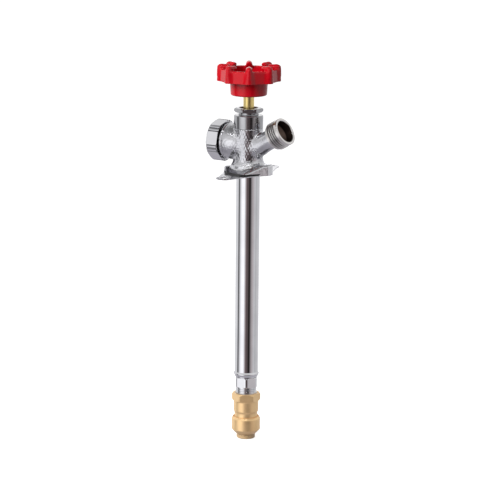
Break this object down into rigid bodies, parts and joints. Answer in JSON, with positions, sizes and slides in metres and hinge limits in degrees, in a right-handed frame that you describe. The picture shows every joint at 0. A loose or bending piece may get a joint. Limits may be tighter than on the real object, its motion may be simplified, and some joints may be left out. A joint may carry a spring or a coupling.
{
  "type": "hose bib",
  "caption": "Frost-free hose bib with a long barrel, wall flange, leaning threaded hose outlet, side vacuum breaker, round lobed handle and push-fit inlet.",
  "frame": {"origin": "on the barrel's axis, in the plane of the flange's back face, which lies on the wall; it is the centre between the two screw slots", "axes": "+Z along the barrel, out of the wall towards the handle; +X to the side that the hose outlet leans to; +Y along the flange's row of screw slots"},
  "size_m": [0.0816, 0.096, 0.3554],
  "materials": {
    "cast_chrome": "satin chrome plating over a finely pebbled casting",
    "polished_chrome": "polished chrome plating",
    "yellow_brass": "machined",
    "satin_brass": "satin, bead-blasted",
    "red_paint": "glossy enamel",
    "steel": "bright stainless",
    "ptfe": "matte",
    "black_rubber": "matte",
    "dark_plastic": "moulded, satin",
    "white_plastic": "moulded, satin",
    "tan_plastic": "moulded"
  },
  "bodies": {
    "body": {"valve_body": "cast_chrome", "barrel_tube": "polished_chrome", "seat_body": "polished_chrome", "thread_seal_tape": "ptfe", "packing_nut": "polished_chrome", "packing_washer": "yellow_brass", "stem_packing": "ptfe", "breaker_cap": "polished_chrome", "breaker_insert": "dark_plastic", "breaker_o_ring": "black_rubber", "coupling_body": "satin_brass", "coupling_end_cap": "satin_brass", "coupling_o_ring": "black_rubber", "o_ring_protector": "white_plastic", "grab_ring": "steel"},
    "washer_carrier": {"washer_cup": "yellow_brass", "seat_washer": "black_rubber", "washer_screw": "yellow_brass"},
    "stem": {"stem": "yellow_brass", "operating_rod": "yellow_brass", "handle": "red_paint", "handle_screw": "steel"},
    "poppet": {"breaker_poppet": "white_plastic", "breaker_seal": "black_rubber", "breaker_spring": "steel"},
    "release_collar": {"release_collar": "tan_plastic"}
  },
  "joints": [
    {"name": "stem_rise", "type": "slide", "parent": "body", "child": "washer_carrier", "axis": [0, 0, 1], "range_m": [0, 0.00635]},
    {"name": "handle_turn", "type": "hinge", "parent": "washer_carrier", "child": "stem", "pos_m": [0, 0, 0.06], "axis": [0, 0, 1], "range_deg": [0, 900]},
    {"name": "breaker_poppet", "type": "slide", "parent": "body", "child": "poppet", "axis": [-1, 0, 0], "range_m": [0, 0.0022], "stiffness_N_per_m": 60, "springref_m": -0.003, "deforming": ["breaker_spring"]},
    {"name": "release_collar_push", "type": "slide", "parent": "body", "child": "release_collar", "axis": [0, 0, 1], "range_m": [0, 0.0015]}
  ],
  "couplings": [
    {"joint": "stem_rise", "follows": "handle_turn", "m_per_rad": 0.00040425}
  ]
}
